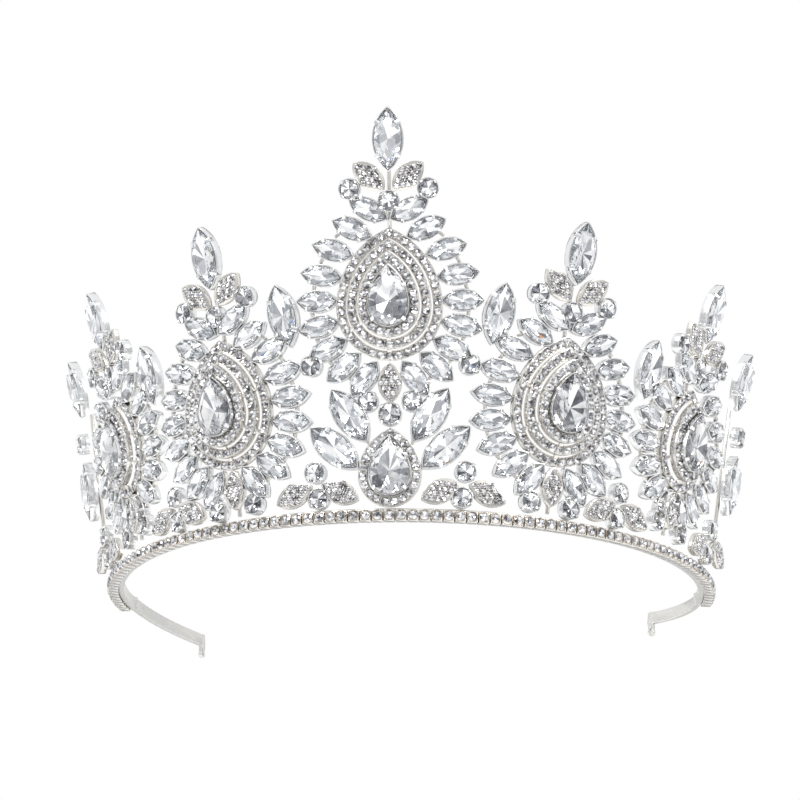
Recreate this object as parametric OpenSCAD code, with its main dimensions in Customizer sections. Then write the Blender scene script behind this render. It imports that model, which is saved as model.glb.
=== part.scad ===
// A bridal crown: a sprung strip that sits on the head, a rail of small set stones round its
// foot, and five pear medallions with rays, leaves and finials that lean outwards above it.
// Millimetres. +Z is up and the front faces -Y. The origin is the centre of the strip's curve,
// level with its lower edge.

/* [Headband] */
// Inner radius of the strip over the front and the sides
band_r = 72; // [68:0.5:76]
// Thickness of the strip
band_t = 1.4; // [1:0.1:1.8]
// Height of the strip
band_h = 3; // [2.8:0.1:3.2]
// Angle from the front at which the plain tails start to curl in
tail_from = 99.5; // [99.5:0.5:101]
// Radius of the left tail and the angle on its own arc at which it ends
left_tail = [150, 115.3]; // [100:0.1:160]
// The same for the right tail, which is bent in further
right_tail = [30, 141.8]; // [28:0.1:150]
// Radius of the hole in each end eye
eye_hole_r = 0.5; // [0.4:0.05:0.6]

/* [Wall] */
// Lean of the stone wall at the foot of the crown, in degrees
foot_lean = 2.7; // [1:0.1:5]
// How fast the wall curves outwards as it rises
flare = 1.86; // [1:0.02:2.2]
// Angle from the front beyond which the wall runs straighter than the strip
spread_from = 59; // [54:1:64]

/* [Rail] */
// Stones on each side of the middle one
rail_half_count = 46; // [42:1:46]
// Radius of a rail stone
rail_stone_r = 1.15; // [1:0.05:1.2]

/* [Medallions] */
// Angle of the inner pair of medallions from the front
inner_phi = 31; // [29:0.5:33]
// Angle of the outer pair of medallions from the front
outer_phi = 62.5; // [61:0.5:64]
// Height of the round centre of the front medallion
center_h = 50; // [48:0.5:52]
// Height of the round centre of the inner pair
inner_h = 27.7; // [27.5:0.1:28.5]
// Height of the round centre of the outer pair, which are smaller
outer_h = 26.8; // [26:0.1:27]
// Radius of the round end of the outermost row of stones
row_outer = 11.5; // [11.4:0.05:11.6]
// Radius of the round end of the middle row
row_middle = 8.85; // [8.7:0.05:9]
// Radius of the round end of the innermost row
row_inner = 6.2; // [6.15:0.05:6.3]
// Distance between the stones along a row
pave_pitch = 2.15; // [2.1:0.05:2.3]
// Radius of a stone in a row
pave_r = 1; // [0.85:0.05:1]
// Radius of a stone in a leaf
leaf_stone_r = 0.68; // [0.5:0.02:0.7]
// Rays on each side of a front or an inner medallion
ray_count = 8; // [7:1:8]

/* [Stones] */
// Length and width of a ray
ray_size = [10, 5]; // [4:0.5:18]
// Length and width of a finial, a spacer or a fan stone
spear_size = [15, 7]; // [4:0.5:18]
// Half width and flank offset of a large pear stone
pear_size = [4.9, 6.8]; // [4:0.1:8]
// Radius of a single round stone
round_r = 2.35; // [2.2:0.05:2.4]
// Radius of the round stone over the front drop
big_round_r = 2.65; // [2.5:0.05:2.7]

/* [Hidden] */
$fn = 48;

plated = "silver";
crystal = "aliceblue";

wall_foot_r = band_r + 2.5;
rail_depth = 2.3;
rail_h = 2.6;
rail_drop = 0.5;
rail_step = 2.13;
collar = [0.8, 1.9, 3.2];
collar_gap = 0.1;
eye_drop = 2.2;
eye_t = 0.9;

// Flank offset of the rows of a medallion and of the front drop
ring_flank = 7.84;
drop_flank = 5;
drop_row = 6.35;
drop_h = 10.55;
row_w = 2.3;
row_depth = 1.6;
three_row_rise = 1.9;
two_row_rise = 2.3;
pear_over_row = 1.4;
drop_rise = 1;

// Each medallion: centre angle, centre height, rows of stones, rays a side, sideways tilt,
// angles of the first and the last ray
three_rows = [row_outer, row_middle, row_inner];
two_rows = [row_middle, row_inner];
center = [0, center_h, three_rows, ray_count, 0, [64, -70]];
inner_left = [-inner_phi, inner_h, three_rows, ray_count, -2.5, [64, -70]];
inner_right = [inner_phi, inner_h, three_rows, ray_count, 2.5, [64, -70]];
outer_left = [-outer_phi, outer_h, two_rows, ray_count - 1, -6, [59, -76]];
outer_right = [outer_phi, outer_h, two_rows, ray_count - 1, 6, [59, -76]];
medallions = [center, inner_left, inner_right, outer_left, outer_right];

// Rays stand round the pear's round centre, further out towards the top
ray_gap = 6.1;
ray_top_lift = 3.2;

// Places above the pear's point and below its round end
wing = [4.85, 4.7];
wing_turn = 62;
finial_v = 20.35;
crest_leaf = [4.7, 12.15];
crest_leaf_turn = 48;
crest_rounds = [[0, 6.55], [-9.4, 9.45], [9.4, 9.45]];
pendant_v = -6.1;
foot_rounds = [[-5.3, -10.35], [5.3, -10.35]];
stem_r = 0.5;

// Angle, height and lean of the stones that stand between and below the medallions
spacers = [[18.6, 49.5, 10], [50.2, 43, 9], [78, 49.5, 8], [81, 24.3, 4]];
fans = [[7.25, 25, 33], [10.1, 17.5, 48]];
clusters = [13.5, 45.5, 77];
cluster_rounds = [[0.3, 11.9], [-0.3, 5.65]];
cluster_leaf = [5.7, 6.9];
cluster_leaf_rise = 25;
loose_rounds = [[13.95, 37.2], [80, 36.2]];
end_stem = [80, 24];
end_stem_length = 40;

leaf_size = [9.8, 5.7];
leaf_pitch = [1.42, 1.22];
leaf_rows = [1, 2, 3, 4, 3, 2, 1];
leaf_depth = 1.5;

pave_crown = 0.5;
ray_crown = 1.4;
spear_crown = 1.9;
pear_crown = 2.2;
round_crown = 1.2;
ray_depth = 1.8;
spear_depth = 2.3;
pear_depth = 3;
round_depth = 2.2;
cup_wall = 0.25;
cup_floor = 0.4;
pocket_gap = 0.3;
seat_gap = 0.05;
claw_t = 0.3;

// Places on the leaning wall

function spread(phi) = max(0, abs(phi) - spread_from);
function foot_share(h) = min(1, 0.4 + h / 50);
function wall_r(phi, h) =
    (wall_foot_r + h * tan(foot_lean) + flare * h * h / 1000)
    * (1 + foot_share(h) * (1 / cos(spread(phi)) - 1));
function lean(h) = atan(tan(foot_lean) + 2 * flare * h / 1000);
function deg(arc) = arc * 180 / PI;

module on_wall(phi, h, turn = 0, out = 0)
    rotate([0, 0, phi])
        translate([0, -wall_r(phi, h), h])
            rotate([0, 0, -0.35 * sign(phi) * spread(phi)])
                rotate([90 + lean(h), 0, 0])
                    translate([0, 0, out])
                        rotate([0, 0, turn])
                            children();

// A place on a medallion: u along the wall and v up it, from its round centre
module on_medallion(m, u, v, turn = 0, out = 0) {
    along = u * cos(m[4]) + v * sin(m[4]);
    h = m[1] + v * cos(m[4]) - u * sin(m[4]);
    on_wall(m[0] + deg(along / wall_r(m[0], h)), h, turn - m[4], out) children();
}

// The same, with v measured from the point of the pear or from its round end
module above_point(m, u, v, turn = 0, out = 0)
    on_medallion(m, u, v + point_of(m[2][0], ring_flank), turn, out) children();
module below_ring(m, u, v, turn = 0, out = 0)
    on_medallion(m, u, v - m[2][0], turn, out) children();

// Outlines with exact arcs: a pointed oval, and a pear with its round end at the origin

module oval(size, h, cut_low = 0, cut_high = 0) {
    r = (size.x * size.x + size.y * size.y) / (4 * size.y);
    c = r - size.y / 2;
    intersection() {
        translate([-c, 0, 0]) cylinder(h = h, r1 = r - cut_low, r2 = r - cut_high);
        translate([c, 0, 0]) cylinder(h = h, r1 = r - cut_low, r2 = r - cut_high);
    }
}

module pear(a, flank, h, cut_low = 0, cut_high = 0) {
    reach = a + flank;
    intersection() {
        translate([-flank, 0, 0]) cylinder(h = h, r1 = reach - cut_low, r2 = reach - cut_high);
        translate([flank, 0, 0]) cylinder(h = h, r1 = reach - cut_low, r2 = reach - cut_high);
        translate([-reach, 0, 0]) cube([2 * reach, 2 * reach, h]);
    }
    intersection() {
        cylinder(h = h, r1 = a - cut_low, r2 = a - cut_high);
        translate([-reach, -2 * reach, 0]) cube([2 * reach, 2 * reach, h]);
    }
}

// A claw that stands at the origin, faces +X and bends over a stone that slopes at the given angle
module claw(width, depth, slope, tip) {
    translate([0, -width / 2, -depth]) cube([claw_t, width, depth]);
    rotate([0, slope, 0]) translate([-tip, -width / 2, 0]) cube([tip + claw_t, width, claw_t]);
}

// Stones: a crown above the seat and a smaller back below it

module oval_stone(size, crown, depth) {
    inset = size.y * 0.33;
    oval(size, crown, 0, inset);
    translate([0, 0, -depth + cup_floor])
        oval(size, depth - cup_floor, inset, pocket_gap + seat_gap);
}

module round_stone(r) {
    cylinder(h = round_crown, r1 = r, r2 = r * 0.55);
    translate([0, 0, -round_depth + cup_floor])
        cylinder(h = round_depth - cup_floor, r1 = r * 0.35, r2 = r - pocket_gap - seat_gap);
}

module pear_stone_body() {
    inset = pear_size.x * 0.5;
    pear(pear_size.x, pear_size.y, pear_crown, 0, inset);
    translate([0, 0, -pear_depth + cup_floor])
        pear(pear_size.x, pear_size.y, pear_depth - cup_floor, inset, pocket_gap + seat_gap);
}

module pave_stone(r = pave_r)
    cylinder(h = pave_crown, r1 = r, r2 = r * 0.6);

// Cups: a wall with a pocket for the back of the stone, and four claws

module oval_cup(size, crown, depth) {
    r = (size.x * size.x + size.y * size.y) / (4 * size.y);
    c = r - size.y / 2;
    y = size.x * 0.27;
    angle = asin(y / r);
    slope = atan(crown / (size.y * 0.33));
    difference() {
        translate([0, 0, -depth]) oval(size, depth, -cup_wall, -cup_wall);
        translate([0, 0, -depth + cup_floor])
            oval(size, depth, pocket_gap, pocket_gap);
    }
    for (side = [0, 180], a = [-angle, angle])
        rotate([0, 0, side]) translate([-c, 0, 0]) rotate([0, 0, a]) translate([r, 0, 0])
            claw(size.y * 0.15, depth * 0.8, slope, size.y * 0.16);
}

module round_cup(r) {
    slope = atan(round_crown / (r * 0.45));
    difference() {
        translate([0, 0, -round_depth]) cylinder(h = round_depth, r = r + cup_wall);
        translate([0, 0, -round_depth + cup_floor])
            cylinder(h = round_depth, r1 = r * 0.35 + seat_gap, r2 = r + cup_wall - 0.1);
    }
    for (a = [45:90:315])
        rotate([0, 0, a]) translate([r, 0, 0]) claw(0.75, round_depth * 0.8, slope, 0.5);
}

module pear_cup_body() {
    a = pear_size.x;
    flank = pear_size.y;
    slope = atan(pear_crown / (a * 0.5));
    difference() {
        translate([0, 0, -pear_depth]) pear(a, flank, pear_depth, -0.1, -0.1);
        translate([0, 0, -pear_depth + cup_floor])
            pear(a, flank, pear_depth, pocket_gap, pocket_gap);
    }
    for (side = [0, 1]) mirror([side, 0, 0]) {
        translate([-flank, 0, 0]) rotate([0, 0, 24]) translate([a + flank, 0, 0])
            claw(0.9, 1, slope, 0.8);
        rotate([0, 0, -40]) translate([a, 0, 0]) claw(0.9, 1, slope, 0.8);
    }
}

// A row of stones round a pear, counted from its point. place() gives the spot at s along it.

function flank_angle(a, flank) = acos(flank / (a + flank));
function flank_arc(a, flank) = (a + flank) * flank_angle(a, flank) * PI / 180;
function point_of(a, flank) = sqrt(pow(a + flank, 2) - flank * flank);
function row_length(a, flank) = 2 * flank_arc(a, flank) + PI * a;
function row_half(a, flank, s) =
    s < flank_arc(a, flank)
    ? let (t = flank_angle(a, flank) - deg(s / (a + flank)))
        [(a + flank) * cos(t) - flank, (a + flank) * sin(t)]
    : let (t = deg((s - flank_arc(a, flank)) / a)) [a * cos(t), -a * sin(t)];
function place(a, flank, s) =
    s <= row_length(a, flank) / 2
    ? row_half(a, flank, s)
    : let (p = row_half(a, flank, row_length(a, flank) - s)) [-p.x, p.y];

module row_band(a, flank)
    difference() {
        translate([0, 0, -row_depth]) pear(a + row_w / 2, flank, row_depth);
        translate([0, 0, -row_depth - 1]) pear(a - row_w / 2, flank, row_depth + 2);
    }

module row_stones(a, flank) {
    count = round(row_length(a, flank) / pave_pitch);
    for (i = [0:count - 1])
        translate(place(a, flank, i * row_length(a, flank) / count)) pave_stone();
}

// A leaf set with small stones, in rows that shorten towards its points

module leaf() translate([0, 0, -leaf_depth]) oval(leaf_size, leaf_depth);

module leaf_stone_set()
    for (k = [0:len(leaf_rows) - 1], i = [0:leaf_rows[k] - 1])
        translate([(i - (leaf_rows[k] - 1) / 2) * leaf_pitch.x,
                   (k - (len(leaf_rows) - 1) / 2) * leaf_pitch.y, 0])
            pave_stone(leaf_stone_r);

// Where a ray sits, and the way it points, on the right-hand side of a medallion
function ray_polar(m, i) = m[5][0] + i * (m[5][1] - m[5][0]) / (m[3] - 1);
function ray_reach(m, a) = m[2][0] + ray_gap + ray_top_lift * pow(max(0, sin(a)), 2);
function ray_aim(a) = a > 0 ? 0.4 * a : 0.75 * a;

module for_each_ray(m) {
    for (side = [-1, 1], i = [0:m[3] - 1]) {
        a = ray_polar(m, i);
        reach = ray_reach(m, a);
        on_medallion(m, side * reach * cos(a), reach * sin(a), side * (ray_aim(a) - 90))
            children();
    }
    for (side = [-1, 1])
        above_point(m, side * wing.x, wing.y, -side * wing_turn) children();
}

// Headband

// The centre of a tail's own arc: both tails start in line with the band
function tail_of(side) = side < 0 ? left_tail : right_tail;

module tail(side)
    mirror([side < 0 ? 1 : 0, 0, 0])
        translate([(band_r - tail_of(side)[0]) * sin(tail_from),
                   -(band_r - tail_of(side)[0]) * cos(tail_from), 0])
            children();

module strip_arc(r, from, to)
    rotate([0, 0, from - 90])
        rotate_extrude(angle = to - from)
            translate([r, 0]) square([band_t, band_h]);

// The strip and its tails meet inside a small collar
module headband()
    color(plated) {
        strip_arc(band_r, deg(collar_gap / band_r) - tail_from, tail_from - deg(collar_gap / band_r));
        for (side = [-1, 1]) {
            tail(side)
                strip_arc(tail_of(side)[0], tail_from + deg(collar_gap / tail_of(side)[0]),
                          tail_of(side)[1]);
            rotate([0, 0, side * tail_from])
                translate([-collar.x / 2, -band_r - band_t / 2 - collar.y / 2, 0]) cube(collar);
        }
    }

// A tapered tab with a hole, which butts on the end of the strip
module end_eye(side)
    color(plated)
        tail(side)
            rotate([0, 0, tail_of(side)[1] - 90])
                translate([tail_of(side)[0] + (band_t + eye_t) / 2, 0, 0])
                    rotate([90, 0, -90])
                        difference() {
                            union() {
                                linear_extrude(eye_t)
                                    polygon([[0, band_h + 0.3], [-1.6, band_h], [-1.9, 0.4],
                                             [-1.5, -eye_drop], [-0.2, -eye_drop], [0, 0]]);
                                translate([-0.85, -eye_drop, 0]) cylinder(h = eye_t, r = 0.95);
                            }
                            translate([-0.85, -eye_drop, -1])
                                cylinder(h = eye_t + 2, r = eye_hole_r);
                        }

module left_end_eye() end_eye(-1);
module right_end_eye() end_eye(1);

// Rail

module for_each_rail_stone()
    for (i = [-rail_half_count:rail_half_count])
        rotate([0, 0, i * rail_step]) translate([0, -band_r - band_t, 0]) children();

module rail_cups()
    color(plated)
        for_each_rail_stone()
            translate([-1.28, -rail_depth, -rail_drop]) cube([2.56, rail_depth, rail_h]);

module rail_stones()
    color(crystal)
        for_each_rail_stone()
            translate([0, -rail_depth, rail_h / 2 - rail_drop])
                rotate([90, 0, 0]) pave_stone(rail_stone_r);

// Medallions

function row_z(m, k) = k * (len(m[2]) == 3 ? three_row_rise : two_row_rise);
function pear_rise(m) = row_z(m, len(m[2]) - 1) + pear_over_row;

module ring(m)
    color(plated)
        on_medallion(m, 0, 0) {
            last = len(m[2]) - 1;
            run = m[2][0] - m[2][last];
            slope = atan(row_z(m, last) / run);
            for (k = [0:last]) translate([0, 0, row_z(m, k)]) row_band(m[2][k], ring_flank);
            // struts that carry the raised rows
            for (a = [30, -30, -90, 210, 150])
                rotate([0, 0, a]) translate([m[2][0], -0.5, -0.8]) rotate([0, slope, 0])
                    translate([-run / cos(slope) - 0.9, 0, -0.4])
                        cube([run / cos(slope) + 1.4, 1, 0.8]);
        }

module ring_stones(m)
    color(crystal)
        on_medallion(m, 0, 0)
            for (k = [0:len(m[2]) - 1]) translate([0, 0, row_z(m, k)])
                row_stones(m[2][k], ring_flank);

module pear_cup(m) color(plated) on_medallion(m, 0, 0, 0, pear_rise(m)) pear_cup_body();
module pear_stone(m) color(crystal) on_medallion(m, 0, 0, 0, pear_rise(m)) pear_stone_body();

module ray_cups(m) color(plated) for_each_ray(m) oval_cup(ray_size, ray_crown, ray_depth);
module ray_stones(m) color(crystal) for_each_ray(m) oval_stone(ray_size, ray_crown, ray_depth);

module for_each_leaf(m) {
    for (side = [-1, 1])
        above_point(m, side * crest_leaf.x, crest_leaf.y, -side * crest_leaf_turn) children();
    below_ring(m, 0, pendant_v) children();
}

module leaves(m) color(plated) for_each_leaf(m) leaf();
module leaf_stones(m) color(crystal) for_each_leaf(m) leaf_stone_set();

// Finials, spacers and fans

module for_each_finial() for (m = medallions) above_point(m, 0, finial_v) children();
module for_each_spear(list)
    for (side = [-1, 1], s = list) on_wall(side * s[0], s[1], -side * s[2]) children();

module spear_cup() color(plated) oval_cup(spear_size, spear_crown, spear_depth);
module spear_stone() color(crystal) oval_stone(spear_size, spear_crown, spear_depth);

module finial_cups() for_each_finial() spear_cup();
module finial_stones() for_each_finial() spear_stone();
module spacer_cups() for_each_spear(spacers) spear_cup();
module spacer_stones() for_each_spear(spacers) spear_stone();
module fan_cups() for_each_spear(fans) spear_cup();
module fan_stones() for_each_spear(fans) spear_stone();

// Single round stones

module for_each_round() {
    for (m = medallions) {
        for (p = crest_rounds) above_point(m, p.x, p.y) children();
        for (p = foot_rounds) below_ring(m, p.x, p.y) children();
    }
    for (side = [-1, 1], phi = clusters, p = cluster_rounds)
        on_wall(side * (phi + p[0]), p[1]) children();
    for (side = [-1, 1], p = loose_rounds) on_wall(side * p[0], p[1]) children();
}

module round_cups()
    color(plated) {
        for_each_round() round_cup(round_r);
        on_wall(0, 25.1) round_cup(big_round_r);
    }

module round_stones()
    color(crystal) {
        for_each_round() round_stone(round_r);
        on_wall(0, 25.1) round_stone(big_round_r);
    }

// Small bars soldered between neighbouring rays, and stems behind the crests, the pendants,
// the fans and the ends of the crown

module stem(length)
    rotate([90, 0, 0]) translate([0, 0, -length / 2]) cylinder(h = length, r = stem_r);

module tie_bars()
    color(plated) {
        for (m = medallions) {
            for (side = [-1, 1], i = [0:m[3] - 2]) {
                a = ray_polar(m, i + 0.5);
                reach = ray_reach(m, a) + 1.3;
                on_medallion(m, side * reach * cos(a), reach * sin(a), side * a)
                    translate([-0.4, -1.1, -1.3]) cube([0.8, 2.2, 0.8]);
            }
            above_point(m, 0, 7.5, 0, -spear_depth - stem_r) stem(17);
            below_ring(m, 0, -6.8, 0, -leaf_depth - stem_r) stem(11);
        }
        for (side = [-1, 1], f = fans)
            on_wall(side * f[0], f[1], -side * f[2], -spear_depth - stem_r)
                translate([0, -spear_size.x / 2, 0]) stem(5);
        for (side = [-1, 1])
            on_wall(side * end_stem[0], end_stem[1], 0, -spear_depth - stem_r)
                stem(end_stem_length);
    }

// Front drop

module drop_ring() color(plated) on_wall(0, drop_h) row_band(drop_row, drop_flank);
module drop_ring_stones() color(crystal) on_wall(0, drop_h) row_stones(drop_row, drop_flank);
module drop_cup() color(plated) on_wall(0, drop_h, 0, drop_rise) pear_cup_body();
module drop_stone() color(crystal) on_wall(0, drop_h, 0, drop_rise) pear_stone_body();

// Leaves on the rail

module for_each_base_leaf()
    for (side = [-1, 1], phi = clusters, end = [-1, 1])
        on_wall(side * phi + end * deg(cluster_leaf.x / wall_foot_r), cluster_leaf.y,
                end * (90 - cluster_leaf_rise)) children();

module base_leaves() color(plated) for_each_base_leaf() leaf();
module base_leaf_stones() color(crystal) for_each_base_leaf() leaf_stone_set();

headband();
left_end_eye();
right_end_eye();
rail_cups();
rail_stones();
ring(center);  // center_ring
ring_stones(center);  // center_ring_stones
pear_cup(center);  // center_pear_cup
pear_stone(center);  // center_pear_stone
ray_cups(center);  // center_ray_cups
ray_stones(center);  // center_ray_stones
leaves(center);  // center_leaves
leaf_stones(center);  // center_leaf_stones
ring(inner_left);  // inner_left_ring
ring_stones(inner_left);  // inner_left_ring_stones
pear_cup(inner_left);  // inner_left_pear_cup
pear_stone(inner_left);  // inner_left_pear_stone
ray_cups(inner_left);  // inner_left_ray_cups
ray_stones(inner_left);  // inner_left_ray_stones
leaves(inner_left);  // inner_left_leaves
leaf_stones(inner_left);  // inner_left_leaf_stones
ring(inner_right);  // inner_right_ring
ring_stones(inner_right);  // inner_right_ring_stones
pear_cup(inner_right);  // inner_right_pear_cup
pear_stone(inner_right);  // inner_right_pear_stone
ray_cups(inner_right);  // inner_right_ray_cups
ray_stones(inner_right);  // inner_right_ray_stones
leaves(inner_right);  // inner_right_leaves
leaf_stones(inner_right);  // inner_right_leaf_stones
ring(outer_left);  // outer_left_ring
ring_stones(outer_left);  // outer_left_ring_stones
pear_cup(outer_left);  // outer_left_pear_cup
pear_stone(outer_left);  // outer_left_pear_stone
ray_cups(outer_left);  // outer_left_ray_cups
ray_stones(outer_left);  // outer_left_ray_stones
leaves(outer_left);  // outer_left_leaves
leaf_stones(outer_left);  // outer_left_leaf_stones
ring(outer_right);  // outer_right_ring
ring_stones(outer_right);  // outer_right_ring_stones
pear_cup(outer_right);  // outer_right_pear_cup
pear_stone(outer_right);  // outer_right_pear_stone
ray_cups(outer_right);  // outer_right_ray_cups
ray_stones(outer_right);  // outer_right_ray_stones
leaves(outer_right);  // outer_right_leaves
leaf_stones(outer_right);  // outer_right_leaf_stones
finial_cups();
finial_stones();
spacer_cups();
spacer_stones();
fan_cups();
fan_stones();
round_cups();
round_stones();
tie_bars();
drop_ring();
drop_ring_stones();
drop_cup();
drop_stone();
base_leaves();
base_leaf_stones();
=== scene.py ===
import bpy, bmesh, math, random
from mathutils import Matrix, Vector


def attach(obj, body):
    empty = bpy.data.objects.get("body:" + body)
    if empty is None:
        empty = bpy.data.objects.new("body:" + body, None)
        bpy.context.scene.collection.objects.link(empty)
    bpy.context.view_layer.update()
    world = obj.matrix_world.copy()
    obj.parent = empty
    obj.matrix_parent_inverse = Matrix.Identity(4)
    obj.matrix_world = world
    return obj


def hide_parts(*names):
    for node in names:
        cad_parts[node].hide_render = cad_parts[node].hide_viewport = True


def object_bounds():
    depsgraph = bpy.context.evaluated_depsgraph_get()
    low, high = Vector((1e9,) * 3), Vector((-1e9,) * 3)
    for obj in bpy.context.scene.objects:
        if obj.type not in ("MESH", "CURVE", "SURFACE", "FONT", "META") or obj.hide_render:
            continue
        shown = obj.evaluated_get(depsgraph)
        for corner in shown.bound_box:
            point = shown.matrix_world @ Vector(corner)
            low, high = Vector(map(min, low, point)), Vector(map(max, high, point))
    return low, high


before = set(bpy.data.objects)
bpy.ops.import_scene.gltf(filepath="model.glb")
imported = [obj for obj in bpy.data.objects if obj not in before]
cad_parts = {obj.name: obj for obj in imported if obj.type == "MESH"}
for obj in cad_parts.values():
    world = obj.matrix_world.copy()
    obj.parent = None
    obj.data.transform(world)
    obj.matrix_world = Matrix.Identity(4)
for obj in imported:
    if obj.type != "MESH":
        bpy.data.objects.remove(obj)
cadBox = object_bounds()
print("frame loaded")

mm = 0.001
medallions = ("center", "inner_left", "inner_right", "outer_left", "outer_right")


# camera
camera = {
    "target": (0.0, 0.0, 0.040),
    "distance": 1.1001,
    "yaw": 4.087,
    "elevation": -16.035,
    "roll": 0.556,
    "lens": 195.15,
    "shiftX": -0.0159,
    "shiftY": 0.0539,
}


def makeCamera():
    yaw, el = math.radians(camera["yaw"]), math.radians(camera["elevation"])
    back = Vector((math.sin(yaw) * math.cos(el), -math.cos(yaw) * math.cos(el), math.sin(el)))
    right = (-back).cross(Vector((0, 0, 1))).normalized()
    up = right.cross(-back).normalized()
    tilt = math.radians(camera["roll"])
    side = right * math.cos(tilt) + up * math.sin(tilt)
    top = up * math.cos(tilt) - right * math.sin(tilt)
    lens = bpy.data.cameras.new("camera")
    lens.lens = camera["lens"]
    lens.sensor_width = 36
    lens.shift_x, lens.shift_y = camera["shiftX"], camera["shiftY"]
    lens.clip_start, lens.clip_end = 0.05, 20
    eye = bpy.data.objects.new("camera", lens)
    turn = Matrix((side, top, back)).transposed().to_4x4()
    eye.matrix_world = Matrix.Translation(Vector(camera["target"]) + back * camera["distance"]) @ turn
    bpy.context.scene.collection.objects.link(eye)
    bpy.context.scene.camera = eye


makeCamera()
print("camera placed")


# node helpers
def linear(hexColour):
    out = []
    for i in (0, 2, 4):
        c = int(hexColour.lstrip("#")[i:i + 2], 16) / 255
        out.append(c / 12.92 if c <= 0.04045 else ((c + 0.055) / 1.055) ** 2.4)
    return (*out, 1.0)


def node(tree, kind, settings=None, links=None):
    # one node, its settings by socket or property name (a colour ramp's two stops by "stops"),
    # and its inputs linked to other sockets
    made = tree.nodes.new(kind)
    for name, value in (settings or {}).items():
        if name == "stops":
            for element, (place, colour) in zip(made.color_ramp.elements, value):
                element.position, element.color = place, linear(colour)
        elif isinstance(name, int) or name in made.inputs:
            made.inputs[name].default_value = value
        else:
            setattr(made, name, value)
    for name, socket in (links or {}).items():
        tree.links.new(socket, made.inputs[name])
    return made


def blank(name):
    made = bpy.data.materials.new(name)
    made.use_nodes = True
    made.node_tree.nodes.clear()
    return made, made.node_tree


# materials
leadCrystal = {"tint": "#FFFFFF", "ior": 1.54}
mirrorFoil = {"bright": "#F8F9FA", "dull": "#E8EAED", "roughness": 0.03, "cellMm": 2.0}
pearFoil = {"bright": "#F6F6F7", "dull": "#CBCCCF", "roughness": 0.03, "cellMm": 3.0}
chatonFoil = {"bright": "#FFFFFF", "dull": "#EDEEF0", "roughness": 0.03, "cellMm": 0.9}
# painted reflection: a darker foil for one chosen back main of each pointed stone, standing in for the
# dark room that facet mirrors
shadeFoil = {"bright": "#D0D2D5", "dull": "#A6A8AD", "roughness": 0.03, "cellMm": 1.5}
# painted reflection: the dark arms of the star on chosen back mains of chatons and pears, standing in
# for the dark room they mirror
starShadeFoil = {"bright": "#A8AAAF", "dull": "#6E7076", "roughness": 0.03, "cellMm": 1.5}
# painted shade: the rail's rims are warm brown all over, browner still in their crevices, standing in
# for the shade between the cups
railRimShade = {"face": "#C9B9A4", "crevice": "#7D6B55"}
paveFoil = {"bright": "#EBEBED", "dull": "#5C5D61", "roughness": 0.04, "cellMm": 1.1}
# the crevice colour is painted shade, laid into the hollows by an ambient occlusion mask
rhodiumPlate = {"face": "#E2DFDA", "crevice": "#75675A", "grainMm": 0.5, "creviceMm": 0.8,
                "grainShare": 0.35, "creviceAt": 0.35, "faceAt": 0.95,
                "polished": 0.12, "dull": 0.32, "peel": 0.25, "peelMm": 0.03}
# the cups' crevice colour is painted shade as well
polishedCup = {"face": "#E9EAEB", "crevice": "#A19E9A"}
springSteel = {"face": "#E6E5E2", "drawn": "#DAD9D6", "roughness": 0.42, "lineMm": 0.25,
               "along": 0.15, "groove": 0.03, "grooveMm": 0.01}


def leadCrystalGlass():
    # machine-cut crystal: clear, so the eye reads the foil facets behind it, and each cut face
    # throws them somewhere else
    made, tree = blank("machineCutCrystal")
    shader = node(tree, "ShaderNodeBsdfPrincipled", {
        "Base Color": linear(leadCrystal["tint"]), "Roughness": 0.0,
        "IOR": leadCrystal["ior"], "Transmission Weight": 1.0})
    node(tree, "ShaderNodeOutputMaterial", links={"Surface": shader.outputs[0]})
    return made


def foiledBack(name, spec):
    # silvered back of a stone: a mirror on every cut face, with the uneven tone of the coating
    made, tree = blank(name)
    place = node(tree, "ShaderNodeTexCoord").outputs["Object"]
    cells = node(tree, "ShaderNodeTexNoise", {"Scale": 1 / (spec["cellMm"] * mm), "Detail": 1.0},
                 {"Vector": place}).outputs["Fac"]
    stops = ((0.3, spec["dull"]), (0.62, spec["bright"]))
    colour = node(tree, "ShaderNodeValToRGB", {"stops": stops}, {"Fac": cells}).outputs["Color"]
    shader = node(tree, "ShaderNodeBsdfPrincipled",
                  {"Metallic": 1.0, "Roughness": spec["roughness"]}, {"Base Color": colour})
    node(tree, "ShaderNodeOutputMaterial", links={"Surface": shader.outputs[0]})
    return made


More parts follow.
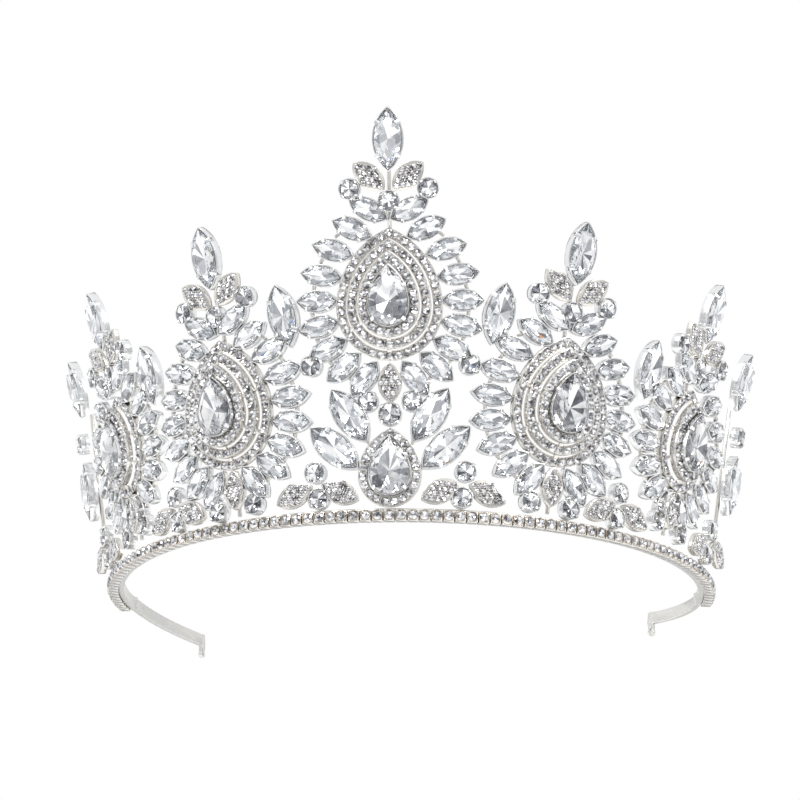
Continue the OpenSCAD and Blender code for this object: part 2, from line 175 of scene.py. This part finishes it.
def rhodiumPlatedZinc(name, face, crevice):
    # cast zinc alloy plated with rhodium: bright on the high parts, with painted shade: an ambient
    # occlusion mask turns the colour brown in the crevices, mixed with a random grain; and a slight
    # orange peel from the mould
    made, tree = blank(name)
    place = node(tree, "ShaderNodeTexCoord").outputs["Object"]
    grain = node(tree, "ShaderNodeTexNoise",
                 {"Scale": 1 / (rhodiumPlate["grainMm"] * mm), "Detail": 3.0}, {"Vector": place})
    # painted shade: the ambient occlusion mask pulls the colour toward the crevice colour in the hollows
    depth = node(tree, "ShaderNodeAmbientOcclusion",
                 {"Distance": rhodiumPlate["creviceMm"] * mm, "samples": 6})
    grainAndPaintedShade = node(tree, "ShaderNodeMath",
                {"operation": "MULTIPLY_ADD", 1: rhodiumPlate["grainShare"]},
                {0: grain.outputs["Fac"], 2: depth.outputs["AO"]})
    stops = ((rhodiumPlate["creviceAt"], crevice), (rhodiumPlate["faceAt"], face))
    colour = node(tree, "ShaderNodeValToRGB", {"stops": stops},
                  {"Fac": grainAndPaintedShade.outputs[0]}).outputs["Color"]
    rough = node(tree, "ShaderNodeMapRange",
                 {"To Min": rhodiumPlate["polished"], "To Max": rhodiumPlate["dull"]},
                 {"Value": grain.outputs["Fac"]})
    bump = node(tree, "ShaderNodeBump",
                {"Strength": rhodiumPlate["peel"], "Distance": rhodiumPlate["peelMm"] * mm},
                {"Height": grain.outputs["Fac"]})
    shader = node(tree, "ShaderNodeBsdfPrincipled", {"Metallic": 1.0},
                  {"Base Color": colour, "Roughness": rough.outputs[0], "Normal": bump.outputs[0]})
    node(tree, "ShaderNodeOutputMaterial", links={"Surface": shader.outputs[0]})
    return made


def drawnSpringStrip():
    # drawn steel strip under a satin silver plate: soft white, with faint lines along its length
    made, tree = blank("satinPlatedStrip")
    place = node(tree, "ShaderNodeTexCoord").outputs["Object"]
    along = springSteel["along"]
    stretch = node(tree, "ShaderNodeMapping", {"Scale": (along, along, 1.0)}, {"Vector": place})
    lines = node(tree, "ShaderNodeTexNoise",
                 {"Scale": 1 / (springSteel["lineMm"] * mm), "Detail": 2.0},
                 {"Vector": stretch.outputs[0]})
    colour = node(tree, "ShaderNodeValToRGB",
                  {"stops": ((0.3, springSteel["drawn"]), (0.7, springSteel["face"]))},
                  {"Fac": lines.outputs["Fac"]}).outputs["Color"]
    bump = node(tree, "ShaderNodeBump",
                {"Strength": springSteel["groove"], "Distance": springSteel["grooveMm"] * mm},
                {"Height": lines.outputs["Fac"]})
    shader = node(tree, "ShaderNodeBsdfPrincipled",
                  {"Metallic": 1.0, "Roughness": springSteel["roughness"]},
                  {"Base Color": colour, "Normal": bump.outputs[0]})
    node(tree, "ShaderNodeOutputMaterial", links={"Surface": shader.outputs[0]})
    return made


crystalGlass = leadCrystalGlass()
stoneFoil = foiledBack("silveredStoneBack", mirrorFoil)
dropFoil = foiledBack("silveredPearBack", pearFoil)
roundFoil = foiledBack("silveredChatonBack", chatonFoil)
# painted reflection: the darker foil for the chosen back mains of pointed stones
paintedShadeFoil = foiledBack("silveredFacetInShade", shadeFoil)
# painted reflection: the dark star arms for chatons and pears
starShadeBack = foiledBack("silveredChatonShade", starShadeFoil)
smallFoil = foiledBack("silveredPave", paveFoil)
# castings, beads and cups with painted shade in their crevices
plating = rhodiumPlatedZinc("rhodiumPlatedZinc", rhodiumPlate["face"], rhodiumPlate["crevice"])
cupPlating = rhodiumPlatedZinc("polishedPlatedCups", polishedCup["face"], polishedCup["crevice"])
# the rail's rims in painted shade
railRimShadePlating = rhodiumPlatedZinc("railRimsPaintedShade", railRimShade["face"], railRimShade["crevice"])
strip = drawnSpringStrip()
print("materials made")


# where each stone sits, read from the frame
seatReading = {"weldMm": 0.001, "endShare": 0.12, "pointMm": 0.3, "girdleMm": 0.01}


def looseParts(nodeName):
    mesh = bmesh.new()
    mesh.from_mesh(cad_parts[nodeName].data)
    bmesh.ops.remove_doubles(mesh, verts=mesh.verts, dist=seatReading["weldMm"] * mm)
    seen, parts = set(), []
    for first in mesh.verts:
        if first.index in seen:
            continue
        seen.add(first.index)
        stack, points, faces = [first], [], {}
        while stack:
            vert = stack.pop()
            points.append(vert.co.copy())
            for face in vert.link_faces:
                if face.index not in faces:
                    faces[face.index] = (face.normal.copy(), face.calc_area())
            for edge in vert.link_edges:
                other = edge.other_vert(vert)
                if other.index not in seen:
                    seen.add(other.index)
                    stack.append(other)
        parts.append((points, list(faces.values())))
    mesh.free()
    return parts


def seatOf(points, faces):
    # the stone's own axes: z out of the wall, y along its length (a pear's points to the tip)
    flats = {}
    halfSpace = Vector((1.0, 0.37, 0.21))  # turns opposite faces the same way, so they add up
    for normal, area in faces:
        if normal.dot(halfSpace) < 0:
            normal = -normal
        flat = flats.setdefault(tuple(round(c, 2) for c in normal), [0.0, normal])
        flat[0] += area
    out = max(flats.values(), key=lambda f: f[0])[1].normalized()
    middle = sum(points, Vector()) / len(points)
    if out.dot(Vector((middle.x, middle.y, 0))) < 0:
        out = -out
    up = (Vector((0, 0, 1)) - out * out.z).normalized()
    side = up.cross(out)
    flat = [((p - middle).dot(side), (p - middle).dot(up), (p - middle).dot(out)) for p in points]
    sxx = sum(p[0] * p[0] for p in flat)
    syy = sum(p[1] * p[1] for p in flat)
    sxy = sum(p[0] * p[1] for p in flat)
    turn = 0.5 * math.atan2(2 * sxy, sxx - syy) - math.pi / 2
    long = up * math.cos(turn) - side * math.sin(turn)
    across = long.cross(out)
    local = [((p - middle).dot(across), (p - middle).dot(long), (p - middle).dot(out)) for p in points]
    lowY, highY = min(p[1] for p in local), max(p[1] for p in local)
    end = seatReading["endShare"] * (highY - lowY)
    point = seatReading["pointMm"] * mm
    above = max(abs(p[0]) for p in local if p[1] > highY - end)
    below = max(abs(p[0]) for p in local if p[1] < lowY + end)
    if above > below + point or (abs(above - below) <= point and long.z < 0):
        long, across = -long, -across
        local = [(-p[0], -p[1], p[2]) for p in local]
        lowY, highY = -highY, -lowY
    lowX, highX = min(p[0] for p in local), max(p[0] for p in local)
    girdle = [p[2] for p in local if p[1] > highY - seatReading["girdleMm"] * mm]
    return {
        "middle": middle + across * (lowX + highX) / 2 + long * (lowY + highY) / 2
        + out * sum(girdle) / len(girdle),
        "across": across, "long": long, "out": out,
        "width": highX - lowX, "length": highY - lowY,
        "high": max(p[2] for p in local) - sum(girdle) / len(girdle),
        "deep": sum(girdle) / len(girdle) - min(p[2] for p in local)}


def seats(nodeName):
    return [seatOf(*part) for part in looseParts(nodeName)]


def placeOf(seat, turn=0.0, shift=(0, 0, 0)):
    c, s = math.cos(turn), math.sin(turn)
    across = seat["across"] * c + seat["long"] * s
    long = seat["long"] * c - seat["across"] * s
    rows = Matrix((across, long, seat["out"])).transposed().to_4x4()
    start = seat["middle"] + across * shift[0] + long * shift[1] + seat["out"] * shift[2]
    return Matrix.Translation(start) @ rows


class Piece:
    # gathers many small shapes into one mesh
    def __init__(self, name, materials):
        self.name, self.materials = name, materials
        self.verts, self.faces, self.slots, self.smooth = [], [], [], []

    def add(self, verts, faces, slots, place, smooth=False):
        base = len(self.verts)
        self.verts += [place @ Vector(v) for v in verts]
        self.faces += [tuple(base + i for i in f) for f in faces]
        self.slots += list(slots)
        self.smooth += [smooth] * len(faces)

    def make(self, slotName, *nodes):
        mesh = bpy.data.meshes.new(self.name)
        mesh.from_pydata(self.verts, [], self.faces)
        for material in self.materials:
            mesh.materials.append(material)
        mesh.polygons.foreach_set("material_index", self.slots)
        mesh.polygons.foreach_set("use_smooth", self.smooth)
        fix = bmesh.new()
        fix.from_mesh(mesh)
        bmesh.ops.recalc_face_normals(fix, faces=fix.faces)
        fix.to_mesh(mesh)
        fix.free()
        made = bpy.data.objects.new(self.name, mesh)
        bpy.context.scene.collection.objects.link(made)
        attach(made, "root")
        if nodes:
            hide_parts(*nodes)
        return made


# stone outlines
girdleShare = 0.02  # the girdle's height in crown heights


def roundOutline(width, length, mains):
    r = width / 2
    return [(r * math.sin(math.pi * j / mains), r * math.cos(math.pi * j / mains))
            for j in range(2 * mains)]


def pointedOutline(width, length, mains):
    # two arcs that meet in a point at each end
    radius = (length ** 2 + width ** 2) / (4 * width)
    middle = radius - width / 2
    reach = math.asin(length / 2 / radius)
    right = []
    for j in range(mains + 1):
        a = reach * (1 - 2 * j / mains)
        right.append((radius * math.cos(a) - middle, radius * math.sin(a)))
    return right + [(-x, y) for x, y in reversed(right[1:-1])]


def pearOutline(width, length, mains):
    # a round end and two long flanks that meet in the point
    a = width / 2
    tip = length - a
    flank = (tip ** 2 - a ** 2) / (2 * a)
    top = math.acos(flank / (a + flank))
    arc, half = (a + flank) * top, (a + flank) * top + a * math.pi / 2
    right = []
    for j in range(mains + 1):
        s = half * j / mains
        if s < arc:
            t = top - s / (a + flank)
            right.append(((a + flank) * math.cos(t) - flank, (a + flank) * math.sin(t)))
        else:
            t = (s - arc) / a
            right.append((a * math.cos(t), -a * math.sin(t)))
    drop = length / 2 - a
    return [(x, y - drop) for x, y in right + [(-x, y) for x, y in reversed(right[1:-1])]]


def cutStone(outline, high, deep, cut, shaded):
    # crown: table, stars, kites and breaks; back: mains and long lower breaks to the culet,
    # with the mains of painted shade, a darker foil, in the third slot
    n = len(outline)
    mains = n // 2
    cx, cy = cut.get("centre", (0, 0))
    girdle = girdleShare * high

    def ring(points, share, z):
        return [(cx + (x - cx) * share, cy + (y - cy) * share, z) for x, y in points]

    verts = ring(outline, 1.0, girdle) + ring(outline, 1.0, 0.0)
    verts += ring(outline[1::2], cut["break"], girdle + (high - girdle) * cut["breakHigh"])
    verts += ring(outline[0::2], cut["table"], high)
    verts += ring(outline[1::2], cut["lower"], -deep * cut["lowerDeep"])
    verts += [(cx, cy, -deep)]
    s0 = 2 * n  # first star point, then the table's, the lower breaks' and the culet
    t0, l0, c0 = s0 + mains, s0 + 2 * mains, s0 + 3 * mains
    faces, slots = [], []

    def face(slot, *ids):
        faces.append(ids)
        slots.append(slot)

    face(0, *[t0 + k for k in range(mains)][::-1])
    for k in range(mains):
        k1 = (k + 1) % mains
        before = (k - 1) % mains
        face(0, t0 + k, t0 + k1, s0 + k)
        face(0, t0 + k, s0 + k, 2 * k)
        face(0, t0 + k, 2 * k, s0 + before)
        face(0, s0 + k, 2 * k + 1, 2 * k)
        face(0, s0 + k, (2 * k + 2) % n, 2 * k + 1)
        face(1, l0 + k, n + 2 * k, n + 2 * k + 1)
        face(1, l0 + k, n + 2 * k + 1, n + (2 * k + 2) % n)
        back = 2 if k in shaded else 1
        face(back, c0, n + 2 * k, l0 + k)
        face(back, c0, l0 + before, n + 2 * k)
    for j in range(n):
        face(0, j, (j + 1) % n, n + (j + 1) % n, n + j)
    return verts, faces, slots


# single stones
# shares of the stone's half width, and how many of the back's mains lie in painted shade,
# a darker foil standing in for the dark room they mirror
rayCut = {"mains": 6, "table": 0.54, "break": 0.8, "breakHigh": 0.52, "lower": 0.78, "lowerDeep": 0.3,
          "slope": 0.38, "rise": 0.72, "shaded": 1}
spearCut = {"mains": 8, "table": 0.56, "break": 0.82, "breakHigh": 0.5, "lower": 0.78, "lowerDeep": 0.3,
            "slope": 0.34, "rise": 0.72, "shaded": 1}
pearCut = {"mains": 8, "table": 0.6, "break": 0.82, "breakHigh": 0.52, "lower": 0.78, "lowerDeep": 0.3,
           "slope": 0.36, "rise": 0.75, "centre": (0, -1.3 * mm), "shaded": 1}
chatonCut = {"mains": 8, "table": 0.6, "break": 0.82, "breakHigh": 0.52, "lower": 0.86, "lowerDeep": 0.3,
             "slope": 0.3, "rise": 0.55, "shaded": 3}


def setStones(name, outlineOf, cut, foil, *nodes):
    rounds = outlineOf is roundOutline
    # painted reflection: a darker foil on the chosen back mains, standing in for the dark room they
    # mirror
    shade = paintedShadeFoil if outlineOf is pointedOutline else starShadeBack
    piece = Piece(name, [crystalGlass, foil, shade])
    for nodeName in nodes:
        for seat in seats(nodeName):
            outline = outlineOf(seat["width"], seat["length"], cut["mains"])
            deep = min(seat["deep"], cut["slope"] * seat["width"] / 2)
            high = min(seat["high"], cut["rise"] * (1 - cut["table"]) * seat["width"] / 2)
            shaded = random.sample(range(cut["mains"]), cut["shaded"])
            shape = cutStone(outline, high, deep, cut, shaded)
            turn = random.uniform(0, math.tau) if rounds else 0.0
            piece.add(*shape, placeOf(seat, turn))
    return piece.make("crystal", *nodes)


random.seed(7)
for m in medallions:
    setStones(m + "Rays", pointedOutline, rayCut, stoneFoil, m + "_ray_stones")
    setStones(m + "Pear", pearOutline, pearCut, dropFoil, m + "_pear_stone")
setStones("finials", pointedOutline, spearCut, stoneFoil, "finial_stones")
setStones("spacers", pointedOutline, spearCut, stoneFoil, "spacer_stones")
setStones("fans", pointedOutline, spearCut, stoneFoil, "fan_stones")
setStones("rounds", roundOutline, chatonCut, roundFoil, "round_stones")
setStones("dropPear", pearOutline, pearCut, dropFoil, "drop_stone")
print("cut stones set")


# small set stones
paveCut = {"mains": 8, "table": 0.6, "break": 0.8, "rim": 0.25, "breakHigh": 0.7, "well": 0.3,
           "high": 0.48, "tiltDeg": 5}
# in stone radii, how far the beads stand proud, and how many places round a stone may take one
beadSpec = {"radius": 0.2, "side": 0.86, "near": 2.6, "edge": 1.1, "clear": 1.15, "proudMm": 0.1,
            "round": 8}


def paveStone(radius, high, cut):
    # a foiled brilliant seen from the front: a ring of cut faces round a table that shows the back
    n = 2 * cut["mains"]
    outline = roundOutline(radius * 2, 0, cut["mains"])
    verts = [(x, y, 0.0) for x, y in outline]
    verts += [(x, y, high * cut["rim"]) for x, y in outline]
    verts += [(x * cut["break"], y * cut["break"], high * cut["breakHigh"]) for x, y in outline[1::2]]
    verts += [(x * cut["table"], y * cut["table"], high) for x, y in outline[0::2]]
    verts += [(0, 0, high * cut["well"])]
    b0, t0, c0 = 2 * n, 2 * n + n // 2, 3 * n
    faces = []
    half = n // 2
    for j in range(n):
        faces.append((j, (j + 1) % n, n + (j + 1) % n, n + j))
    for k in range(half):
        k1, before = (k + 1) % half, (k - 1) % half
        faces.append((t0 + k, b0 + k, t0 + k1))
        faces.append((t0 + k, n + 2 * k, b0 + k))
        faces.append((t0 + k, b0 + before, n + 2 * k))
        faces.append((b0 + k, n + 2 * k, n + 2 * k + 1))
        faces.append((b0 + k, n + 2 * k + 1, n + (2 * k + 2) % n))
        faces.append((t0 + k, t0 + k1, c0))
    return verts, faces, [0] * len(faces)


def beadShape(radius):
    # the top half of a small ball
    verts, faces = [(0, 0, radius)], []
    for lift in (0.75, 0.0):
        flatR = radius * math.sqrt(1 - lift * lift)
        verts += [(flatR * math.cos(a * math.pi / 3), flatR * math.sin(a * math.pi / 3), radius * lift)
                  for a in range(6)]
    for a in range(6):
        b = (a + 1) % 6
        faces += [(0, 1 + a, 1 + b), (1 + a, 7 + a, 7 + b, 1 + b)]
    return verts, faces, [0] * len(faces)


def edgeBeads(beads, bead, places, radius):
    # raised grains round a leaf's rim, wherever a stone has no neighbour
    for one in places:
        up = (Vector((0, 0, 1)) - one["out"] * one["out"].z).normalized()
        side = up.cross(one["out"])
        for k in range(beadSpec["round"]):
            a = k * math.tau / beadSpec["round"]
            spot = one["middle"] + (side * math.cos(a) + up * math.sin(a)) * beadSpec["edge"] * radius
            if all(other is one or (other["middle"] - spot).length > beadSpec["clear"] * radius
                   for other in places):
                proud = (0, 0, beadSpec["proudMm"] * mm)
                beads.add(*bead, placeOf(dict(one, middle=spot), 0, proud), True)


def paveRows(name, nodeName):
    stones, beads = Piece(name, [smallFoil]), Piece(name + "Beads", [plating])
    places = seats(nodeName)
    tip = math.radians(paveCut["tiltDeg"])
    for seat in places:
        shape = paveStone(seat["width"] / 2, paveCut["high"] * seat["width"] / 2, paveCut)
        tilt = Matrix.Rotation(random.uniform(-tip, tip), 4, "X") @ \
            Matrix.Rotation(random.uniform(-tip, tip), 4, "Y")
        stones.add(*shape, placeOf(seat, random.uniform(0, math.tau)) @ tilt)
    radius = places[0]["width"] / 2
    bead = beadShape(beadSpec["radius"] * radius)
    for i, one in enumerate(places):
        for two in places[i + 1:]:
            gap = two["middle"] - one["middle"]
            if gap.length > beadSpec["near"] * radius:
                continue
            across = one["out"].cross(gap).normalized()
            for side in (-1, 1):
                reach = across * side * beadSpec["side"] * radius
                spot = dict(one, middle=(one["middle"] + two["middle"]) / 2 + reach)
                beads.add(*bead, placeOf(spot, 0, (0, 0, beadSpec["proudMm"] * mm)), True)
    if "leaf" in nodeName:
        edgeBeads(beads, bead, places, radius)
    stones.make("crystal", nodeName)
    beads.make("plated_castings")


for m in medallions:
    paveRows(m + "RowStones", m + "_ring_stones")
    paveRows(m + "LeafStones", m + "_leaf_stones")
paveRows("dropRowStones", "drop_ring_stones")
paveRows("railLeafStones", "base_leaf_stones")
print("small stones set")


# rail
railSpec = {"prongMm": 0.24, "prongAtMm": 1.0, "rimMm": 0.17, "rimHighMm": 0.14, "rimSides": 16}


def rimShape(inner, outer, high):
    # a flat ring with an outer wall, round one stone
    n = railSpec["rimSides"]
    around = [(math.cos(a * math.tau / n), math.sin(a * math.tau / n)) for a in range(n)]
    verts = [(x * inner, y * inner, high) for x, y in around]
    verts += [(x * outer, y * outer, high) for x, y in around]
    verts += [(x * outer, y * outer, 0.0) for x, y in around]
    faces = []
    for a in range(n):
        b = (a + 1) % n
        faces += [(a, n + a, n + b, b), (n + a, 2 * n + a, 2 * n + b, n + b)]
    return verts, faces, [0] * len(faces)


def railRow():
    stones = Piece("railStones", [smallFoil])
    # rings of painted shade round each rail stone
    rims = Piece("railRims", [railRimShadePlating])
    prongs = Piece("railProngs", [plating])
    bead = beadShape(railSpec["prongMm"] * mm)
    for seat in seats("rail_stones"):
        shape = paveStone(seat["width"] / 2, paveCut["high"] * seat["width"] / 2, paveCut)
        stones.add(*shape, placeOf(seat, random.uniform(0, math.tau)))
        edge = seat["width"] / 2
        rim = rimShape(edge, edge + railSpec["rimMm"] * mm, railSpec["rimHighMm"] * mm)
        rims.add(*rim, placeOf(seat))
        at = railSpec["prongAtMm"] * mm
        for sx, sy in ((-at, -at), (-at, at), (at, -at), (at, at)):
            prongs.add(*bead, placeOf(seat, 0, (sx, sy, 0)), True)
    stones.make("crystal", "rail_stones")
    rims.make("plated_castings")
    prongs.make("plated_castings")


railRow()
print("rail set")


# castings and strip: the frame's own solids
edgeSpec = {"stripMm": 0.2, "castMm": 0.07, "weldMm": 0.002, "segments": 2, "sharpDeg": 40}


def softenEdges(solid, widthMm):
    weld = solid.modifiers.new("weld", "WELD")
    weld.merge_threshold = edgeSpec["weldMm"] * mm
    soften = solid.modifiers.new("bevel", "BEVEL")
    soften.width = widthMm * mm
    soften.segments = edgeSpec["segments"]
    soften.limit_method = "ANGLE"
    soften.angle_limit = math.radians(edgeSpec["sharpDeg"])
    soften.harden_normals = True
    for face in solid.data.polygons:
        face.use_smooth = True


for name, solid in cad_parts.items():
    if name.endswith(("stones", "stone")):
        continue
    bare = name == "headband" or name.endswith("eye")
    solid.data.materials.clear()
    cup = name.endswith(("cup", "cups")) and name != "rail_cups"
    solid.data.materials.append(strip if bare else cupPlating if cup else plating)
    softenEdges(solid, edgeSpec["stripMm"] if name == "headband" else edgeSpec["castMm"])
print("castings finished")


# studio
studio = {"floorDrop": 0.36, "floorSize": 6, "floorRough": 0.9, "white": "#FFFFFF", "floor": "#F4F4F3",
          "worldStrength": 1.0, "keyWatts": 12, "fillWatts": 6, "aim": (0, 0, 0.04),
          "turns": 24, "mirrorTurns": 16, "glassTurns": 16}


def plainEmission(name, colour, strength):
    made, tree = blank(name)
    light = node(tree, "ShaderNodeEmission", {"Color": linear(colour), "Strength": strength})
    node(tree, "ShaderNodeOutputMaterial", links={"Surface": light.outputs[0]})
    return made


def sheet(name, centre, facing, size, material):
    mesh = bpy.data.meshes.new(name)
    w, h = size[0] / 2, size[1] / 2
    mesh.from_pydata([(-w, -h, 0), (w, -h, 0), (w, h, 0), (-w, h, 0)], [], [(0, 1, 2, 3)])
    mesh.materials.append(material)
    made = bpy.data.objects.new(name, mesh)
    bpy.context.scene.collection.objects.link(made)
    made.location = centre
    made.rotation_euler = (Vector(facing) - Vector(centre)).to_track_quat("Z", "Y").to_euler()
    return made


def softbox(name, centre, size, power):
    light = bpy.data.lights.new(name, "AREA")
    light.shape = "RECTANGLE"
    light.size, light.size_y = size
    light.energy = power
    made = bpy.data.objects.new(name, light)
    made.location = centre
    made.rotation_euler = (Vector(studio["aim"]) - Vector(centre)).to_track_quat("-Z", "Y").to_euler()
    bpy.context.scene.collection.objects.link(made)
    return made


def makeStudio():
    world = bpy.data.worlds.new("studio")
    world.use_nodes = True
    world.node_tree.nodes["Background"].inputs["Color"].default_value = linear(studio["white"])
    world.node_tree.nodes["Background"].inputs["Strength"].default_value = studio["worldStrength"]
    bpy.context.scene.world = world
    floor, tree = blank("matWhitePaper")
    shader = node(tree, "ShaderNodeBsdfPrincipled",
                  {"Base Color": linear(studio["floor"]), "Roughness": studio["floorRough"]})
    node(tree, "ShaderNodeOutputMaterial", links={"Surface": shader.outputs[0]})
    wide = studio["floorSize"]
    sheet("floor", (0, 0, cadBox[0][2] - studio["floorDrop"]), (0, 0, 10), (wide, wide), floor)
    # pale and grey cards that the cut faces and the plating mirror: name, centre, size, colour
    cards = (
        ("cardLow", (0.1, -0.62, -0.46), (1.5, 0.8), "#B2B4B8"),
        ("cardLens", (0.09, -1.3, -0.34), (0.4, 0.4), "#75777C"),
        ("cardLeft", (-1.0, -0.55, 0.05), (0.7, 0.9), "#CCCED2"),
        ("cardRight", (1.0, -0.45, 0.05), (0.7, 0.9), "#CCCED2"),
        ("cardLeftEdge", (-0.85, -0.9, 0.15), (0.12, 1.0), "#727479"),
        ("cardRightEdge", (0.9, -0.8, 0.15), (0.12, 1.0), "#727479"),
        ("cardTop", (-0.1, -0.75, 0.85), (1.2, 0.12), "#86888D"),
        ("cardFront", (-0.15, -1.3, 0.35), (1.1, 0.5), "#D0D2D5"),
        ("cardBackLow", (0.0, 0.85, -0.35), (1.3, 0.5), "#A2A4A8"),
        ("cardBackLeft", (-0.5, 0.95, 0.35), (0.18, 0.9), "#6A6C71"),
        ("cardBackRight", (0.6, 0.85, 0.3), (0.18, 0.9), "#7C7E83"),
        ("cardBackTop", (0.05, 0.7, 0.85), (0.9, 0.14), "#84868B"),
        ("fireOrange", (0.5, -0.9, 0.55), (0.04, 0.16), "#F2B27A"),
        ("fireBlue", (-0.45, -0.95, 0.5), (0.035, 0.14), "#7E9BE4"),
    )
    for name, centre, size, colour in cards:
        card = sheet(name, centre, studio["aim"], size, plainEmission(name + "Paint", colour, 1.0))
        card.visible_camera = False
        card.visible_diffuse = False
        card.visible_shadow = False
    softbox("keyLight", (-0.7, -0.9, 1.1), (0.6, 0.6), studio["keyWatts"])
    softbox("fillLight", (0.9, -0.8, 0.7), (0.5, 0.5), studio["fillWatts"])


makeStudio()
bpy.context.scene.view_settings.view_transform = "Standard"
paths = bpy.context.scene.cycles  # light turns many times inside a foiled stone
paths.max_bounces = studio["turns"]
paths.glossy_bounces = studio["mirrorTurns"]
paths.transmission_bounces = studio["glassTurns"]
print("studio lit")
